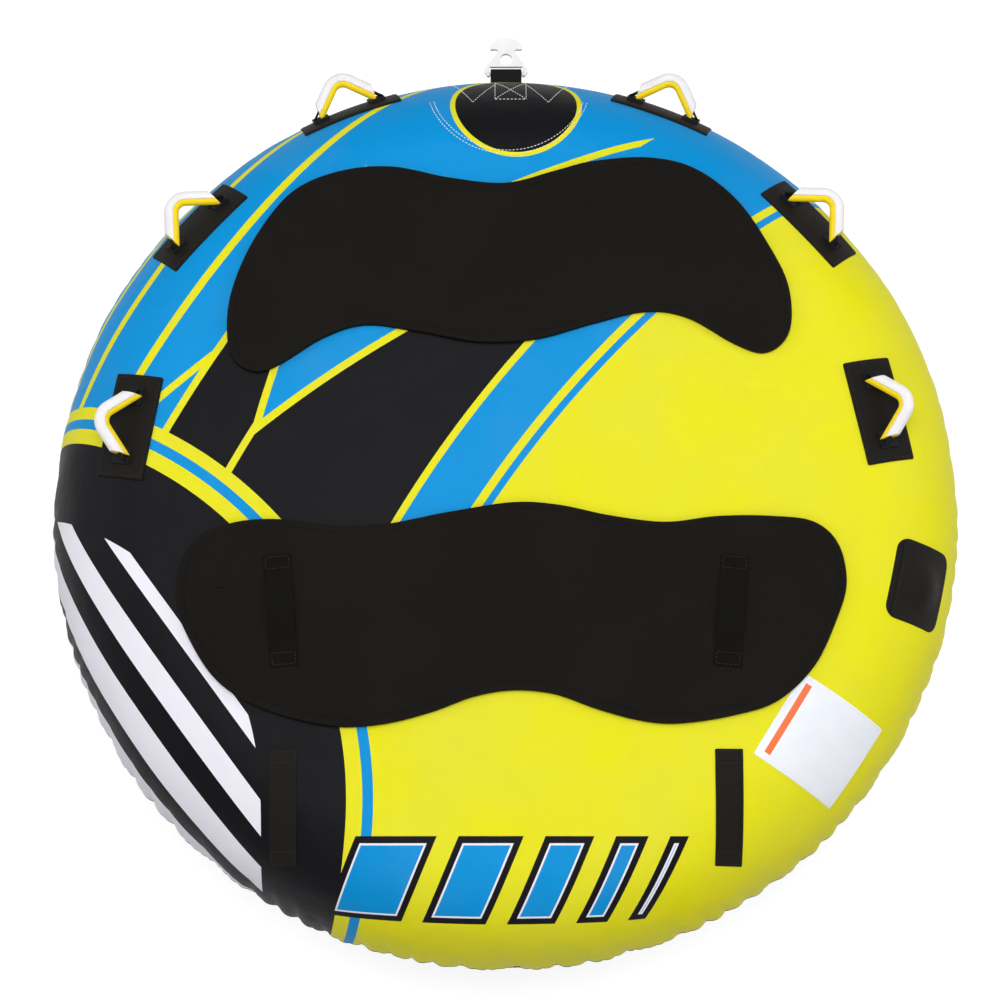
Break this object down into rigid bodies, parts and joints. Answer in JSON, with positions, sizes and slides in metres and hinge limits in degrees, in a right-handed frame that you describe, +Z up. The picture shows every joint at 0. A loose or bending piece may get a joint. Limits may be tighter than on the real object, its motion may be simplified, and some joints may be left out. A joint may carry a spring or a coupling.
{
  "type": "towable tube",
  "caption": "Round inflatable deck tube for towing behind a boat, with foam chest and knee pads, webbing grab handles, a flap-covered valve and a swinging tow hook.",
  "frame": {"origin": "centre of the flat underside", "axes": "+Z up, +Y forward to the tow hook, +X to the right of a rider who faces forward"},
  "size_m": [1.7838, 1.8959, 0.4644],
  "materials": {
    "print_cover": "matte",
    "black_cover": "matte",
    "piping": "matte",
    "bladder": "satin",
    "foam_pad": "matte",
    "webbing": "matte",
    "label": "matte",
    "grip_foam": "matte",
    "white_wrap": "matte",
    "hard_plastic": "matte",
    "clear_vinyl": "satin",
    "hook": "satin",
    "zip_plastic": "satin",
    "mesh": "matte"
  },
  "bodies": {
    "root": {"cover_top": "print_cover", "cover_bottom": "black_cover", "rim_piping": "piping", "bladder": "bladder", "bladder_webs": "bladder", "chest_pad": "foam_pad", "knee_pad": "foam_pad", "deck_strap_left": "webbing", "deck_strap_right": "webbing", "pad_strap_left": "webbing", "pad_strap_right": "webbing", "label_patch": "label", "valve_base": "hard_plastic", "valve_membrane": "clear_vinyl", "flap_hem": "webbing", "tow_reinforcement": "webbing", "tow_patch": "webbing", "tow_strap": "webbing", "zipper_tape": "webbing", "zipper_chain": "zip_plastic", "drain_mesh": "mesh", "handle_patch_mid_left": "webbing", "handle_roots_mid_left": "webbing", "handle_patch_mid_right": "webbing", "handle_roots_mid_right": "webbing", "handle_patch_upper_left": "webbing", "handle_roots_upper_left": "webbing", "handle_patch_upper_right": "webbing", "handle_roots_upper_right": "webbing", "handle_patch_front_left": "webbing", "handle_roots_front_left": "webbing", "handle_patch_front_right": "webbing", "handle_roots_front_right": "webbing"},
    "handle_mid_left": {"handle_strap_mid_left": "webbing", "handle_foam_mid_left": "grip_foam", "handle_wrap_mid_left": "white_wrap"},
    "handle_mid_right": {"handle_strap_mid_right": "webbing", "handle_foam_mid_right": "grip_foam", "handle_wrap_mid_right": "white_wrap"},
    "handle_upper_left": {"handle_strap_upper_left": "webbing", "handle_foam_upper_left": "grip_foam", "handle_wrap_upper_left": "white_wrap"},
    "handle_upper_right": {"handle_strap_upper_right": "webbing", "handle_foam_upper_right": "grip_foam", "handle_wrap_upper_right": "white_wrap"},
    "handle_front_left": {"handle_strap_front_left": "webbing", "handle_foam_front_left": "grip_foam", "handle_wrap_front_left": "white_wrap"},
    "handle_front_right": {"handle_strap_front_right": "webbing", "handle_foam_front_right": "grip_foam", "handle_wrap_front_right": "white_wrap"},
    "valve_cap": {"valve_cap": "hard_plastic"},
    "valve_flap": {"valve_flap": "black_cover"},
    "tow_hook": {"tow_hook": "hook"},
    "zipper_slider": {"zipper_slider": "zip_plastic"},
    "zipper_pull": {"zipper_pull": "webbing"}
  },
  "joints": [
    {"name": "handle_mid_left_swing", "type": "hinge", "parent": "root", "child": "handle_mid_left", "pos_m": [-0.72553, 0.12141, 0.43214], "axis": [-0.165, -0.9863, 0], "range_deg": [-108, 7], "stiffness_Nm_per_rad": 0.5},
    {"name": "handle_mid_right_swing", "type": "hinge", "parent": "root", "child": "handle_mid_right", "pos_m": [0.71954, 0.15294, 0.43214], "axis": [-0.2079, 0.9781, 0], "range_deg": [-108, 7], "stiffness_Nm_per_rad": 0.5},
    {"name": "handle_upper_left_swing", "type": "hinge", "parent": "root", "child": "handle_upper_left", "pos_m": [-0.61519, 0.54811, 0.3881], "axis": [-0.6652, -0.7466, 0], "range_deg": [-100, 15], "stiffness_Nm_per_rad": 0.5},
    {"name": "handle_upper_right_swing", "type": "hinge", "parent": "root", "child": "handle_upper_right", "pos_m": [0.60845, 0.55559, 0.3881], "axis": [-0.6743, 0.7385, 0], "range_deg": [-100, 15], "stiffness_Nm_per_rad": 0.5},
    {"name": "handle_front_left_swing", "type": "hinge", "parent": "root", "child": "handle_front_left", "pos_m": [-0.32196, 0.81734, 0.32425], "axis": [-0.9304, -0.3665, 0], "range_deg": [-75, 40], "stiffness_Nm_per_rad": 0.5},
    {"name": "handle_front_right_swing", "type": "hinge", "parent": "root", "child": "handle_front_right", "pos_m": [0.32196, 0.81734, 0.32425], "axis": [-0.9304, 0.3665, 0], "range_deg": [-75, 40], "stiffness_Nm_per_rad": 0.5},
    {"name": "valve_cap_turn", "type": "hinge", "parent": "root", "child": "valve_cap", "pos_m": [0.79662, -0.18391, 0.37392], "axis": [0.6264, -0.1446, 0.766], "range_deg": [0, 360]},
    {"name": "valve_flap_open", "type": "hinge", "parent": "root", "child": "valve_flap", "pos_m": [0.74065, -0.17099, 0.40659], "axis": [-0.225, -0.9744, 0], "range_deg": [0, 150]},
    {"name": "tow_hook_swing", "type": "hinge", "parent": "root", "child": "tow_hook", "pos_m": [0, 0.926, 0.21], "axis": [1, 0, 0], "range_deg": [-80, 80]},
    {"name": "zipper_slide", "type": "hinge", "parent": "root", "child": "zipper_slider", "pos_m": [0, 0, 0], "axis": [0, 0, 1], "range_deg": [0, 66]},
    {"name": "zipper_pull_swing", "type": "hinge", "parent": "zipper_slider", "child": "zipper_pull", "pos_m": [-0.45976, -0.70797, 0.06219], "axis": [0.3644, 0.5612, -0.7431], "range_deg": [-85, 85]}
  ]
}
